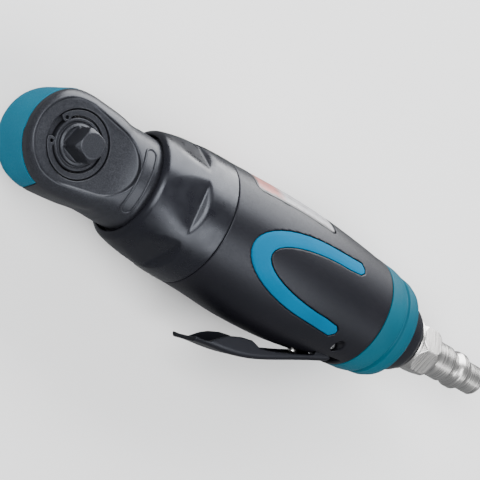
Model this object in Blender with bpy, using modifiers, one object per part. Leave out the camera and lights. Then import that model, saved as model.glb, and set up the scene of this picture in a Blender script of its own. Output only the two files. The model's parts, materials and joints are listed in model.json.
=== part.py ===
"""Mini air ratchet with a quarter-inch square drive, a vane motor and a quick-coupling plug.

Sizes are in millimetres; MM turns them into metres where a mesh or a place is made.
The parts are laid out in the tool's frame: X runs back along the tool's axis to the air inlet,
Z runs out along the square drive, and the throttle lever hangs on the -Y side. Its origin is
where the drive's axis crosses the tool's axis. The "tool" empty holds that frame, and puts the
end face of the square drive at the world's origin.
"""

import math

import bmesh
import bpy
from mathutils import Matrix, Vector

MM = 0.001
GAP = 0.3  # between parts that lie against each other or turn in each other

# Square drive and anvil, along Z
DRIVE_REACH = 16.1
SQUARE = 6.35
SQUARE_TURN = math.radians(-19)
CORE_R = 5.8
COLLAR_R = 6.3
JOURNAL_R = 4.6
PAWL_X = 2.9
PAWL_TILT = math.radians(6)
KNOB_TILT = 5 * PAWL_TILT  # the knob turns five times as far as the pawl

# Ratchet head
FLOOR_Z = 9.4
NOSE_R = 13.1
NECK_R = 12.3
CAVITY_R = 8.5
NECK_BORE_R = 8.0
BUMPER_ANGLE = math.radians(71)
BUMPER_Z = 6.2
BUMPER_LOW = -8.0
BUMPER_LEAN = 3.6

# Yoke and crank
YOKE_TEETH = 48
CRANK_THROW = 1.0
BUSHING_R = 2.3
FORK_INNER = 4.8
FORK_OUTER = 5.9

# Planetary gears
MODULE = 2 / 3
SUN_TEETH = 9
PLANET_TEETH = 9
RING_TEETH = 27
PLANETS = 3
PLANET_RADIUS = MODULE * (SUN_TEETH + PLANET_TEETH) / 2
GEAR_FRONT = 37.4
GEAR_REAR = 43.2

# Vane motor
MOTOR_FRONT = 48.6
MOTOR_REAR = 80.4
ROTOR_R = 8.0
CYLINDER_R = 10.0
ECCENTRIC = 1.0
VANES = 5
VANE_TIP = 7.9

# Shells: stations and radii of the outside
SEAM = 42.3
SHELL_BORE_R = 14.5
SLEEVE_OUTSIDE = [(20.9, 13.2), (21.2, 13.9), (21.9, 14.5), (23.1, 15.0), (25, 15.4), (28, 16.0), (32, 16.55), (36, 16.95)]
HOUSING_OUTSIDE = [(50, 17.3), (58, 17.6), (66, 17.75), (73, 17.55), (80, 17.05), (87, 16.5), (94, 15.95)]
POCKETS = 6
POCKET_FLOOR = 15.2
HOUSING_END = 98.5
RING_END = 111.2
LABEL_SPAN = (48.8, 76.2, 11.5)  # start, end and half width

# Throttle
PIVOT = (91.1, -11.9)
PIN_X = 86.0
PIN_R = 1.3
SLOT_HALF = 6.1
LEVER_HALF = 5.6
SHEET = 1.0

# Air plug
HEX_FLATS = 12.7
PLUG_TIP = 147.4

ALONG = Matrix.Rotation(math.pi / 2, 4, "Y")  # turns a piece's Z axis to run back along the tool
ACROSS = Matrix.Rotation(-math.pi / 2, 4, "X")  # turns a piece's Z axis to +Y


# ---------------------------------------------------------------- tools


def clear_scene():
    for obj in list(bpy.data.objects):
        bpy.data.objects.remove(obj)


def new_collection(name):
    made = bpy.data.collections.new(name)
    bpy.context.scene.collection.children.link(made)
    return made


clear_scene()
PARTS = new_collection("air_ratchet")
CUTTERS = new_collection("cutters")
TOOL = bpy.data.objects.new("tool", None)
TOOL.location.z = -DRIVE_REACH * MM
PARTS.objects.link(TOOL)


def new_material(name, colour, roughness, metallic):
    made = bpy.data.materials.new(name)
    made.use_nodes = True
    shader = made.node_tree.nodes["Principled BSDF"]
    shader.inputs["Base Color"].default_value = (*colour, 1)
    shader.inputs["Roughness"].default_value = roughness
    shader.inputs["Metallic"].default_value = metallic
    return made


BLACK_STEEL = new_material("black_steel", (0.03, 0.031, 0.035), 0.45, 0.8)
TURQUOISE = new_material("turquoise_rubber", (0.012, 0.29, 0.42), 0.45, 0)
GLOSS_BLACK = new_material("gloss_black", (0.012, 0.012, 0.016), 0.22, 0)
SATIN_BLACK = new_material("satin_black", (0.022, 0.022, 0.026), 0.4, 0)
LABEL = new_material("label", (0.6, 0.58, 0.58), 0.4, 0)
NICKEL = new_material("nickel_steel", (0.66, 0.65, 0.63), 0.28, 1)
STEEL = new_material("ground_steel", (0.42, 0.42, 0.43), 0.3, 1)
BRASS = new_material("brass", (0.6, 0.43, 0.18), 0.3, 1)
VANE = new_material("vane_laminate", (0.25, 0.14, 0.07), 0.6, 0)
FELT = new_material("felt", (0.35, 0.35, 0.33), 0.95, 0)
SEAL = new_material("seal_rubber", (0.02, 0.02, 0.02), 0.6, 0)


def settle(obj, matrix):
    """Links obj under the tool's frame, at this matrix, whose translation is in millimetres."""
    PARTS.objects.link(obj)
    obj.parent = TOOL
    placed = matrix.copy()
    placed.translation *= MM
    obj.matrix_basis = placed
    return obj


def shift(x=0.0, y=0.0, z=0.0):
    return Matrix.Translation((x, y, z))


def turned(name, profile, steps=24, matrix=ALONG):
    """A turned piece from (station, radius) pairs: a closed loop, or a line between two points on the axis."""
    points = [(radius * MM, station * MM) for station, radius in profile]
    nexts = points[1:] + points[:1]
    if sum(a[0] * b[1] - b[0] * a[1] for a, b in zip(points, nexts)) > 0:
        points.reverse()  # the outer side has to run from the top down
    ends_meet = profile[0][1] > 0
    edges = [(i, i + 1) for i in range(len(points) - 1)]
    if ends_meet:
        edges.append((len(points) - 1, 0))
    mesh = bpy.data.meshes.new(name)
    mesh.from_pydata([(radius, 0, station) for radius, station in points], edges, [])
    obj = settle(bpy.data.objects.new(name, mesh), matrix)
    screw = obj.modifiers.new("Turn", "SCREW")
    screw.steps = screw.render_steps = steps
    screw.use_merge_vertices = True
    screw.merge_threshold = 0.00001
    return obj


def tube(name, start, end, outer, inner, steps=24, matrix=ALONG):
    return turned(name, [(start, inner), (start, outer), (end, outer), (end, inner)], steps, matrix)


def rod(name, start, end, radius, steps=16, matrix=ALONG):
    return turned(name, [(start, 0), (start, radius), (end, radius), (end, 0)], steps, matrix)


def box(name, low, high, matrix=None):
    """A box between two corners, with its origin at the matrix's own."""
    mesh = bpy.data.meshes.new(name)
    bm = bmesh.new()
    bmesh.ops.create_cube(bm, size=1)
    size = [(b - a) * MM for a, b in zip(low, high)]
    middle = [(a + b) / 2 * MM for a, b in zip(low, high)]
    bm.transform(Matrix.Translation(middle) @ Matrix.Diagonal((*size, 1)))
    bm.to_mesh(mesh)
    bm.free()
    return settle(bpy.data.objects.new(name, mesh), matrix or Matrix.Identity(4))


def plate(name, outline, low, high, matrix=None):
    """A flat outline in the piece's XY plane, made solid between two heights on its Z axis."""
    curve = bpy.data.curves.new(name, "CURVE")
    curve.dimensions = "2D"
    curve.fill_mode = "BOTH"
    curve.extrude = (high - low) / 2 * MM
    spline = curve.splines.new("POLY")
    spline.points.add(len(outline) - 1)
    for point, (x, y) in zip(spline.points, outline):
        point.co = (x * MM, y * MM, 0, 1)
    spline.use_cyclic_u = True
    return as_mesh(name, curve, (low + high) / 2, matrix or Matrix.Identity(4))


def as_mesh(name, curve, lift, matrix):
    """The curve as a welded mesh object, raised by lift along its own Z axis."""
    guide = bpy.data.objects.new(name + "_guide", curve)
    bpy.context.scene.collection.objects.link(guide)
    bpy.context.view_layer.update()
    evaluated = guide.evaluated_get(bpy.context.evaluated_depsgraph_get())
    mesh = bpy.data.meshes.new_from_object(evaluated)
    bpy.data.objects.remove(guide)
    bm = bmesh.new()
    bm.from_mesh(mesh)
    bmesh.ops.remove_doubles(bm, verts=bm.verts, dist=0.000001)
    bm.transform(Matrix.Translation((0, 0, lift * MM)))
    bm.to_mesh(mesh)
    bm.free()
    mesh.name = name
    return settle(bpy.data.objects.new(name, mesh), matrix)


def wire(name, points, radius, matrix):
    """A round wire along the points."""
    curve = bpy.data.curves.new(name, "CURVE")
    curve.dimensions = "3D"
    curve.bevel_depth = radius * MM
    curve.bevel_resolution = 0
    curve.use_fill_caps = True
    spline = curve.splines.new("POLY")
    spline.points.add(len(points) - 1)
    for point, place in zip(spline.points, points):
        point.co = (*(value * MM for value in place), 1)
    return as_mesh(name, curve, 0, matrix)


def coil(name, start, end, radius, wire_r, turns, matrix, per_turn=10):
    """A compression spring along its own Z axis."""
    count = turns * per_turn
    points = []
    for i in range(count + 1):
        angle = 2 * math.pi * i / per_turn
        points.append((radius * math.cos(angle), radius * math.sin(angle), start + (end - start) * i / count))
    return wire(name, points, wire_r, matrix)


def loft(name, rings, matrix=None):
    """A closed skin through rings of points, each ring with the same number of points, from the lowest up."""
    bm = bmesh.new()
    loops = [[bm.verts.new(Vector(point) * MM) for point in ring] for ring in rings]
    count = len(loops[0])
    for lower, upper in zip(loops, loops[1:]):
        for i in range(count):
            j = (i + 1) % count
            bm.faces.new((lower[i], lower[j], upper[j], upper[i]))
    bm.faces.new(loops[0][::-1])
    bm.faces.new(loops[-1])
    bmesh.ops.recalc_face_normals(bm, faces=bm.faces)
    mesh = bpy.data.meshes.new(name)
    bm.to_mesh(mesh)
    bm.free()
    return settle(bpy.data.objects.new(name, mesh), matrix or Matrix.Identity(4))


def combine(target, tools, operation):
    for tool in tools:
        if tool.name in PARTS.objects:
            PARTS.objects.unlink(tool)
            CUTTERS.objects.link(tool)
            tool.hide_render = True
            tool.display_type = "WIRE"
        step = target.modifiers.new(tool.name, "BOOLEAN")
        step.operation = operation
        step.solver = "EXACT"
        step.object = tool
    return target


def weld(obj):
    """Joins the double points that a Boolean can leave where cuts meet."""
    step = obj.modifiers.new("Weld", "WELD")
    step.merge_threshold = 0.000005


def cut(target, *tools):
    return combine(target, tools, "DIFFERENCE")


def fuse(target, *tools):
    return combine(target, tools, "UNION")


def keep(target, *tools):
    return combine(target, tools, "INTERSECT")


def finish(obj, material):
    """Gives a part its material and smooth shading."""
    if any(step.type == "BOOLEAN" for step in obj.modifiers):
        weld(obj)
    obj.data.materials.append(material)
    if obj.data.polygons:
        obj.data.shade_smooth()
        obj.data.set_sharp_from_angle(angle=math.radians(35))
    for step in obj.modifiers:
        if step.type == "SCREW":
            step.use_smooth_shade = True
    return obj


def arc(centre, radius, start, end, count):
    """Points on an arc in a plane, between two angles in degrees."""
    points = []
    for i in range(count):
        angle = math.radians(start + (end - start) * i / (count - 1))
        points.append((centre[0] + radius * math.cos(angle), centre[1] + radius * math.sin(angle)))
    return points


def gear_outline(teeth, root, tip, root_share, tip_share):
    """A gear with straight-sided teeth, one of them pointing along the first axis."""
    pitch = 2 * math.pi / teeth
    points = []
    for tooth in range(teeth):
        for radius, side in ((root, -root_share), (tip, -tip_share), (tip, tip_share), (root, root_share)):
            angle = pitch * (tooth + side / 2)
            points.append((radius * math.cos(angle), radius * math.sin(angle)))
    return points


def spun(angle, matrix=ALONG):
    """The matrix for a copy turned about its own Z axis."""
    return matrix @ Matrix.Rotation(angle, 4, "Z")


# ---------------------------------------------------------------- ratchet head


def head_section(z, side_inset, nose_inset, count=15):
    """One level of the head: a round nose about the drive's axis and sides that taper to the neck."""
    radius = NOSE_R - side_inset
    stretch = (NOSE_R - nose_inset) / radius
    nose = [(x * stretch, y, z) for x, y in arc((0, 0), radius, 90, 270, count)]
    tail = [(19, -11.0 + side_inset, z), (19, 11.0 - side_inset, z)]
    return nose + tail


def head_block(name, inset=0.0):
    levels = [(-10.4, 4.0, 2.6), (-9.2, 1.8, 1.3), (-7.2, 0.3, 0.3), (-5.5, 0, 0), (5.5, 0, 0)]
    levels += [(7.4, 0.7, 0.3), (9.0, 1.9, 0.7), (9.9, 3.0, 1.2)]
    return loft(name, [head_section(z, side + inset, nose + inset) for z, side, nose in levels])


def nose_zone(name, margin):
    """The wedge around the nose that the bumper fills, with ends that lean back towards the bottom."""
    reach = 30
    angle = BUMPER_ANGLE - margin / NOSE_R
    side_x, side_y = -reach * math.cos(angle), reach * math.sin(angle)
    levels = []
    for z, back in ((BUMPER_LOW + margin, BUMPER_LEAN), (BUMPER_Z - margin, 0)):
        outline = [(0, 0), (side_x, side_y), (-reach * 1.5, side_y), (-reach * 1.5, -side_y), (side_x, -side_y)]
        levels.append([(x + back, y, z) for x, y in outline])
    return loft(name, levels)


def make_head():
    head = head_block("ratchet_head")
    neck = [(9, 0), (9, 8), (12, 9.6), (15, 11.0), (18, 12.0), (20, NECK_R), (30.6, NECK_R), (30.9, 13.1), (34, 13.1), (34, 0)]
    fuse(head, turned("neck", neck, 28))
    seat = nose_zone("bumper_seat", 0)
    cut(seat, head_block("bumper_seat_core", 1.9))
    cut(head, seat)
    face = arc((-1.6, 0), 9.5, 98, 262, 12) + arc((7.6, 0), 7.7, -80, 80, 10)
    cut(head, plate("face_pocket", face, FLOOR_Z, 12))
    cut(head, rod("drive_cavity", -6.4, 14, CAVITY_R, 32, Matrix.Identity(4)))
    cut(head, rod("back_bore", -14, -5, JOURNAL_R + GAP + 0.1, 24, Matrix.Identity(4)))
    cut(head, rod("neck_bore", 3.5, 36, NECK_BORE_R, 24))
    finish(head, BLACK_STEEL)


def make_bumper():
    bumper = head_block("nose_bumper", -0.05)
    keep(bumper, nose_zone("bumper_zone", GAP))
    cut(bumper, head_block("bumper_core", 1.6))
    finish(bumper, TURQUOISE)


def make_drive_rings():
    level = Matrix.Identity(4)
    finish(tube("thrust_washer", 6.9, 7.7, 8.15, 6.65, 28, level), STEEL)
    gap_start, gap_end = 149, 191
    outer = arc((0, 0), 8.15, gap_end, gap_start + 360, 30)
    inner = arc((0, 0), 6.75, gap_start + 360, gap_end, 24)
    ring = plate("retaining_ring", outer + inner, 8.0, 8.9)
    for name, angle in (("ring_eye_a", gap_start - 6), ("ring_eye_b", gap_end + 6)):
        turn = Matrix.Rotation(math.radians(angle), 4, "Z")
        cut(ring, rod(name, 7, 10, 0.4, 8, turn @ shift(7.45)))
    finish(ring, BLACK_STEEL)


def make_anvil():
    level = Matrix.Identity(4)
    profile = [(-12.6, 0), (-12.6, JOURNAL_R), (-6.1, JOURNAL_R), (-6.1, CORE_R), (6.0, CORE_R), (6.0, COLLAR_R)]
    profile += [(8.9, COLLAR_R), (9.2, 5.9), (9.2, 5.3), (8.9, 5.1), (8.9, 4.6), (9.9, 4.4), (9.9, 0)]
    anvil = turned("drive_anvil", profile, 24, level)
    half = SQUARE / 2
    square = box("drive_square", (-half, -half, 8), (half, half, DRIVE_REACH), Matrix.Rotation(SQUARE_TURN, 4, "Z"))
    keep(square, turned("square_corners", [(7, 0), (7, 4.3), (15.2, 4.3), (DRIVE_REACH, 3.5), (DRIVE_REACH, 0)], 24, level))
    fuse(anvil, square)
    cut(anvil, box("pawl_slot", (1.2, -4.1, -3.7), (9, 4.1, 3.7)))
    cut(anvil, rod("pawl_pin_hole", -5.6, 5.6, 1.0, 12, shift(PAWL_X)))
    cut(anvil, rod("pawl_spring_hole", -3.6, 2, 1.3, 12))
    cut(anvil, rod("ball_hole", 0.4, 5, 1.25, 12, ball_matrix()))
    finish(anvil, BLACK_STEEL)
    finish(rod("pawl_pin", -5.3, 5.3, 0.7, 10, shift(PAWL_X)), STEEL)
    finish(coil("pawl_spring", -3.3, 0.9, 0.7, 0.18, 3, ALONG, 8), STEEL)


def ball_matrix():
    """Out of the square's rear side, at the height of the socket-retaining ball."""
    return Matrix.Rotation(SQUARE_TURN, 4, "Z") @ shift(0, 0, 12.7) @ ALONG


def make_drive_ball():
    matrix = ball_matrix() @ shift(0, 0, 2.6)
    half_circle = [(-math.cos(math.pi * i / 8) * 0.95, math.sin(math.pi * i / 8) * 0.95) for i in range(9)]
    half_circle[0] = (-0.95, 0)
    half_circle[-1] = (0.95, 0)
    finish(turned("drive_ball", half_circle, 12, matrix), STEEL)
    finish(coil("ball_spring", 0.65, 1.05, 0.6, 0.12, 2, ball_matrix(), 8), STEEL)


def make_pawl():
    """A two-ended pawl: turned one way or the other it catches one side of the yoke's teeth."""
    back = arc((0, 0), 1.6, 110, 250, 7)
    outline = back + [(1.0, -2.8), (2.0, -3.0), (2.4, -1.8), (2.4, 1.8), (2.0, 3.0), (1.0, 2.8)]
    place = shift(PAWL_X) @ Matrix.Rotation(PAWL_TILT, 4, "Z")
    pawl = plate("drive_pawl", outline, -3.3, 3.3, place)
    cut(pawl, rod("pawl_eye", -4, 4, 1.0, 12, place))
    finish(pawl, STEEL)


def make_knob():
    """The direction knob on the back of the head."""
    level = Matrix.Identity(4)
    profile = [(-13.6, 0), (-13.6, 6.4), (-13.1, 7.1), (-11.6, 7.3), (-11.2, 7.0), (-11.2, 4.95), (-12.9, 4.95), (-12.9, 0)]
    knob = turned("reverse_knob", profile, 24, level)
    grip = box("knob_grip", (-7.0, -1.9, -15.6), (7.0, 1.9, -13.3), Matrix.Rotation(KNOB_TILT, 4, "Z"))
    bevel = grip.modifiers.new("Round", "BEVEL")
    bevel.width = 0.7 * MM
    bevel.segments = 2
    fuse(knob, grip)
    finish(knob, BLACK_STEEL)


# ---------------------------------------------------------------- yoke, crank and gears


def make_yoke():
    yoke = plate("ratchet_yoke", arc((0, 0), 8.1, 0, 350, 36), -4.8, 4.8)
    teeth = []
    for i in range(YOKE_TEETH * 2):
        angle = math.pi * i / YOKE_TEETH
        radius = 6.75 if i % 2 else 6.2
        teeth.append((radius * math.cos(angle), radius * math.sin(angle)))
    cut(yoke, plate("yoke_teeth", teeth, -6, 6))
    arm = [(7.1, -FORK_OUTER), (17.2, -FORK_OUTER), (17.2, -FORK_INNER), (12, -FORK_INNER)]
    arm += [(x, -y) for x, y in reversed(arm)]
    fuse(yoke, plate("yoke_arm", arm, -2.6, 2.6))
    finish(yoke, STEEL)


def make_crank():
    """Crank pin, shaft and planet carrier in one piece, with three pins for the planets."""
    profile = [(17.6, 0), (17.6, 5.2), (19.4, 5.2), (19.4, 4.0), (34.6, 4.0), (34.6, 8.0), (37.0, 8.0), (37.0, 0)]
    crank = turned("crankshaft", profile, 24)
    fuse(crank, rod("crank_pin", 12.9, 18, 1.2, 14, shift(z=CRANK_THROW) @ ALONG))
    for i in range(PLANETS):
        around = spun(math.tau * i / PLANETS) @ shift(PLANET_RADIUS)
        fuse(crank, rod(f"planet_pin_{i + 1}", 36.8, 43.6, 1.2, 12, around))
    finish(crank, STEEL)
    finish(tube("drive_bushing", 13.1, 17.1, BUSHING_R, 1.55, 16, shift(z=CRANK_THROW) @ ALONG), STEEL)
    finish(tube("crank_bearing", 21, 32, 7.6, 4.3, 24), BRASS)


def make_gears():
    outline = gear_outline(PLANET_TEETH, 2.35, 3.42, 0.54, 0.24)
    for i in range(PLANETS):
        around = spun(math.tau * i / PLANETS) @ shift(PLANET_RADIUS)
        planet = plate(f"planet_gear_{i + 1}", outline, GEAR_FRONT, GEAR_REAR, around)
        cut(planet, rod(f"planet_bore_{i + 1}", GEAR_FRONT - 1, GEAR_REAR + 1, 1.5, 12, around))
        finish(planet, STEEL)
    ring = tube("ring_gear", 34.3, 44.3, 13.1, 8.6, 27)
    spaces = gear_outline(RING_TEETH, 8.45, 9.7, 0.76, 0.48)
    cut(ring, plate("ring_spaces", spaces, 33, 46, ALONG))
    finish(ring, STEEL)


# ---------------------------------------------------------------- vane motor


def make_rotor():
    profile = [(37.5, 0), (37.5, 2.2), (MOTOR_FRONT + GAP, 2.2), (MOTOR_FRONT + GAP, ROTOR_R)]
    profile += [(MOTOR_REAR - GAP, ROTOR_R), (MOTOR_REAR - GAP, 2.2), (83.8, 2.2), (83.8, 0)]
    rotor = turned("motor_rotor", profile, 20)
    pinion = gear_outline(SUN_TEETH, 2.3, 3.42, 0.54, 0.24)
    fuse(rotor, plate("sun_pinion", pinion, GEAR_FRONT + 0.2, GEAR_REAR + 0.2, ALONG))
    for i in range(VANES):
        turn = spun(vane_angle(i))
        cut(rotor, box(f"vane_slot_{i + 1}", (4.0, -0.75, MOTOR_FRONT - 1), (9, 0.75, MOTOR_REAR + 1), turn))
    finish(rotor, STEEL)


def vane_angle(index):
    return math.tau * (index + 0.5) / VANES


def make_vanes():
    for i in range(VANES):
        low = (4.4, -0.45, MOTOR_FRONT + 0.4)
        high = (VANE_TIP, 0.45, MOTOR_REAR - 0.4)
        finish(box(f"rotor_vane_{i + 1}", low, high, spun(vane_angle(i))), VANE)


def make_motor_case():
    offset = shift(z=ECCENTRIC) @ ALONG
    cylinder = rod("motor_cylinder", MOTOR_FRONT, MOTOR_REAR, 14.1, 28)
    cut(cylinder, rod("cylinder_bore", MOTOR_FRONT - 1, MOTOR_REAR + 1, CYLINDER_R, 28, offset))
    for i in range(3):
        x = 56 + 8 * i
        cut(cylinder, box(f"exhaust_port_{i + 1}", (x, -2, 8), (x + 3, 2, 16)))
    finish(cylinder, STEEL)
    finish(tube("front_end_plate", 44.7, MOTOR_FRONT - GAP, 14.1, 5.4, 24), STEEL)
    finish(tube("rear_end_plate", MOTOR_REAR + GAP, 83.2, 14.1, 5.4, 24), STEEL)
    finish(tube("front_rotor_bearing", 44.9, 48.1, 5.1, 2.5, 20), STEEL)
    finish(tube("rear_rotor_bearing", 80.9, 83.1, 5.1, 2.5, 20), STEEL)


# ---------------------------------------------------------------- shells


def make_sleeve():
    inside = [(SEAM - 0.15, SHELL_BORE_R), (24.3, SHELL_BORE_R), (23.3, 12.95), (20.9, 12.95)]
    sleeve = turned("front_sleeve", SLEEVE_OUTSIDE + [(SEAM - 0.15, 17.1)] + inside, 36)
    side = [(15, POCKET_FLOOR), (33.2, POCKET_FLOOR), (38, POCKET_FLOOR + 4.8), (15, POCKET_FLOOR + 4.8)]
    for i in range(POCKETS):
        turn = Matrix.Rotation(math.tau * i / POCKETS, 4, "X") @ Matrix.Rotation(math.pi / 2, 4, "X")
        cut(sleeve, plate(f"pocket_{i + 1}", side, -9, 9, turn))
    finish(sleeve, GLOSS_BLACK)
    nut = [(24.8, 12.65), (24.8, 14.15), (41.6, 14.15), (41.6, 13.5), (30.55, 13.5), (30.55, 12.65)]
    finish(turned("head_lock_nut", nut, 24), STEEL)


def housing_skin(start, end, inset):
    """The housing's outside between two stations, moved in by inset."""
    stations = [(SEAM + 0.15, 17.1)] + HOUSING_OUTSIDE + [(HOUSING_END, 15.35)]
    inner = [(x, r - inset) for x, r in stations if start < x < end]

    def radius_at(x):
        for (x0, r0), (x1, r1) in zip(stations, stations[1:]):
            if x0 <= x <= x1:
                return r0 + (r1 - r0) * (x - x0) / (x1 - x0)
        return stations[-1][1]

    return [(start, radius_at(start) - inset)] + inner + [(end, radius_at(end) - inset)]


def shell_layer(name, start, end, deep, shallow):
    """A thin ring that follows the housing's outside, between two depths under it."""
    return turned(name, housing_skin(start, end, deep) + housing_skin(start, end, shallow)[::-1], 32)


def horseshoe(margin):
    """The inlay's outline, in X and across: its closed end points to the drive."""
    outer_x, outer_half, inner_half, ends = 50.3 - margin, 9.9 + margin, 6.9 - margin, 86.7 + margin
    inner_x = 56.4 + margin

    def side(nose, half, length, count):
        points = []
        for i in range(count):
            share = i / (count - 1)
            angle = share * math.pi / 2
            points.append((nose + length * (1 - math.cos(angle)), half * math.sin(angle)))
        return points

    outer = side(outer_x, outer_half, 27, 7) + [(ends - 1.2, outer_half + 0.25), (ends, outer_half - 0.8)]
    inner = side(inner_x, inner_half, 25, 6) + [(ends - 1.2, inner_half + 0.35), (ends, inner_half + 1.2)]
    upper = outer + inner[::-1]
    lower = [(x, -y) for x, y in upper[::-1]]
    return upper[1:-1] + [(inner_x, 0)] + lower[1:-1] + [(outer_x, 0)]


def make_housing():
    outside = housing_skin(SEAM + 0.15, HOUSING_END, 0)
    outside += [(HOUSING_END, 13.0), (108.0, 13.0)]
    inside = [(108.0, 11.6), (99.3, 11.6), (99.3, 7.3), (95.2, 7.3), (95.2, 4.2), (83.6, 4.2), (83.6, 14.5), (SEAM + 0.15, 14.5)]
    housing = turned("rear_housing", outside + inside, 32)
    turn = Matrix.Rotation(math.radians(4), 4, "X")
    groove = plate("inlay_groove", horseshoe(0.3), 5, 25, turn)
    cut(housing, keep(groove, shell_layer("inlay_depth", 48, 90, 1.1, -2)))
    start, end, half = LABEL_SPAN
    recess = box("label_recess", (start - GAP, 5, -half - GAP), (end + GAP, 25, half + GAP))
    cut(housing, keep(recess, shell_layer("recess_depth", 46, 80, 0.9, -2)))
    cut(housing, box("lever_slot", (88.3, -25, -SLOT_HALF), (97, -8.9, SLOT_HALF)))
    cut(housing, rod("pin_bore", -25, -3, PIN_R + GAP, 16, shift(PIN_X) @ ACROSS))
    cut(housing, rod("bush_bore", -8.5, -2.6, 2.2, 14, shift(PIN_X) @ ACROSS))
    cut(housing, rod("lever_pin_bore", -20, 20, 1.5, 12, shift(*PIVOT)))
    for i, angle in enumerate((-35, 0, 35)):
        around = spun(math.radians(90 + angle)) @ shift(10.5)
        cut(housing, rod(f"exhaust_way_{i + 1}", 82, 101, 1.6, 10, around))
    finish(housing, SATIN_BLACK)
    inlay = plate("grip_inlay", horseshoe(0), 5, 25, turn)
    finish(keep(inlay, shell_layer("inlay_skin", 49, 89, 0.75, 0)), TURQUOISE)
    label = box("label_plate", (start, 5, -half), (end, 25, half))
    finish(keep(label, shell_layer("label_skin", 46, 80, 0.6, 0.3)), LABEL)


def make_rear_end():
    ring = [(HOUSING_END + 0.3, 13.35), (HOUSING_END + 0.3, 15.35), (102.5, 15.05), (105.2, 14.6), (105.6, 14.2)]
    ring += [(108.0, 14.15), (110.3, 13.5), (RING_END, 12.2), (RING_END, 10.9), (109.6, 10.9), (109.6, 13.35)]
    finish(turned("rear_ring", ring, 32), TURQUOISE)
    felt = tube("silencer_felt", 99.7, 107.8, 11.2, 7.4, 24)
    finish(felt, FELT)
    bush = [(95.5, 3.0), (95.5, 7.0), (108.3, 7.0), (108.3, 12.8), (109.2, 12.8), (109.2, 10.4), (113.2, 10.3), (115.6, 9.7)]
    bush += [(117.2, 8.9), (118.2, 7.9), (118.5, 6.8), (118.5, 5.2), (103.5, 5.2), (103.5, 1.9), (99.2, 1.9), (99.2, 3.0)]
    finish(turned("inlet_bush", bush, 24), GLOSS_BLACK)


# ---------------------------------------------------------------- air plug


def make_plug():
    bore = 2.5
    collar = [(127.2, 5.1), (134.8, 5.1), (135.8, 4.5), (137.0, 4.5), (137.6, 5.2), (140.4, 5.2), (141.2, 4.5)]
    collar += [(141.8, 4.5), (142.2, 4.1), (146.8, 4.1), (PLUG_TIP, 3.6), (PLUG_TIP, bore)]
    plug = turned("inlet_plug", [(104.5, bore), (104.5, 4.9), (121.3, 4.9)] + collar, 24)
    corners = [(HEX_FLATS / math.sqrt(3) * math.cos(a), HEX_FLATS / math.sqrt(3) * math.sin(a)) for a in hex_angles()]
    nut = plate("plug_hex", corners, 120.4, 127.4, ALONG)
    keep(nut, turned("hex_corners", [(119, 0), (119, 6.2), (122.2, 7.4), (125.8, 7.4), (128.6, 6.0), (128.6, 0)], 32))
    cut(nut, rod("hex_bore", 119, 130, 3.6, 20))
    fuse(plug, nut)
    finish(plug, NICKEL)
    finish(tube("plug_seal", 118.8, 120.1, 7.3, 5.2, 28), SEAL)


def hex_angles():
    return [math.radians(180 + 2 + 60 * i) for i in range(6)]


# ---------------------------------------------------------------- throttle


def lever_outer():
    """The lever's outer side line, from its tip back to under its pivot."""
    tip = [(53.8, -27.45), (57.0, -26.9), (60.0, -26.65), (63.0, -26.4), (67.0, -25.85), (72.0, -24.5)]
    return tip + [(77.4, -22.5), (82.7, -20.4), (88.0, -18.15), (92.5, -16.4)]


def lever_flange():
    """The flange's free edge, from the pivot eye forward to the tip."""
    eye = arc(PIVOT, 2.1, -20, 190, 9)
    edge = [(89.3, -14.6), (88.9, -15.7), (87.0, -16.7), (83.8, -18.0), (79.5, -19.5), (75.5, -20.7), (72.6, -21.3)]
    edge += [(71.2, -20.8), (69.4, -20.4), (66.2, -21.0), (63.0, -22.1), (60.9, -23.3), (59.4, -24.4), (58.2, -25.7)]
    edge += [(56.3, -26.2), (53.8, -26.6)]
    return eye + edge


def make_lever():
    origin = shift(*PIVOT)

    def local(points):
        return [(x - PIVOT[0], y - PIVOT[1]) for x, y in points]

    outline = lever_outer() + [(94.2, -14.6)] + lever_flange()
    lever = plate("throttle_lever", local(outline), -LEVER_HALF, LEVER_HALF, origin)
    inner = [(x, y + SHEET) for x, y in lever_outer()]
    channel = inner + [(98, -16.4), (98, -5), (47, -5), (40, -27.2)]
    cut(lever, plate("lever_channel", local(channel), SHEET - LEVER_HALF, LEVER_HALF - SHEET, origin))
    cut(lever, rod("lever_eye", -8, 8, 1.5, 12, origin))
    finish(lever, GLOSS_BLACK)
    finish(rod("lever_pin", -10.3, 10.3, 1.2, 14, origin), STEEL)


def make_valve():
    """Pushed in by the lever, the pin's cone drives the valve back off its seat, against its spring."""
    across = shift(PIN_X) @ ACROSS
    pin = [(-17.35, 0), (-17.35, 0.8), (-16.9, PIN_R), (-2.8, PIN_R), (-1.6, 0.4), (-1.6, 0)]
    finish(turned("throttle_pin", pin, 16, across), NICKEL)
    finish(tube("pin_bush", -8.2, -4.6, 1.95, PIN_R + GAP, 14, across), BRASS)
    finish(tube("valve_seat", 87.6, 89.0, 3.9, 1.9, 20), BRASS)
    valve = [(86.4, 0), (86.4, 0.9), (89.3, 0.9), (89.35, 2.5), (90.6, 2.9), (92.4, 2.9), (92.4, 1.2), (94.6, 1.2), (94.6, 0)]
    finish(turned("throttle_valve", valve, 16), BRASS)
    finish(coil("valve_spring", 93.0, 98.7, 2.2, 0.35, 4, ALONG, 8), STEEL)


make_head()
make_bumper()
make_drive_rings()
make_anvil()
make_drive_ball()
make_pawl()
make_knob()
make_yoke()
make_crank()
make_gears()
make_rotor()
make_vanes()
make_motor_case()
make_sleeve()
make_housing()
make_rear_end()
make_plug()
make_lever()
make_valve()
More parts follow.
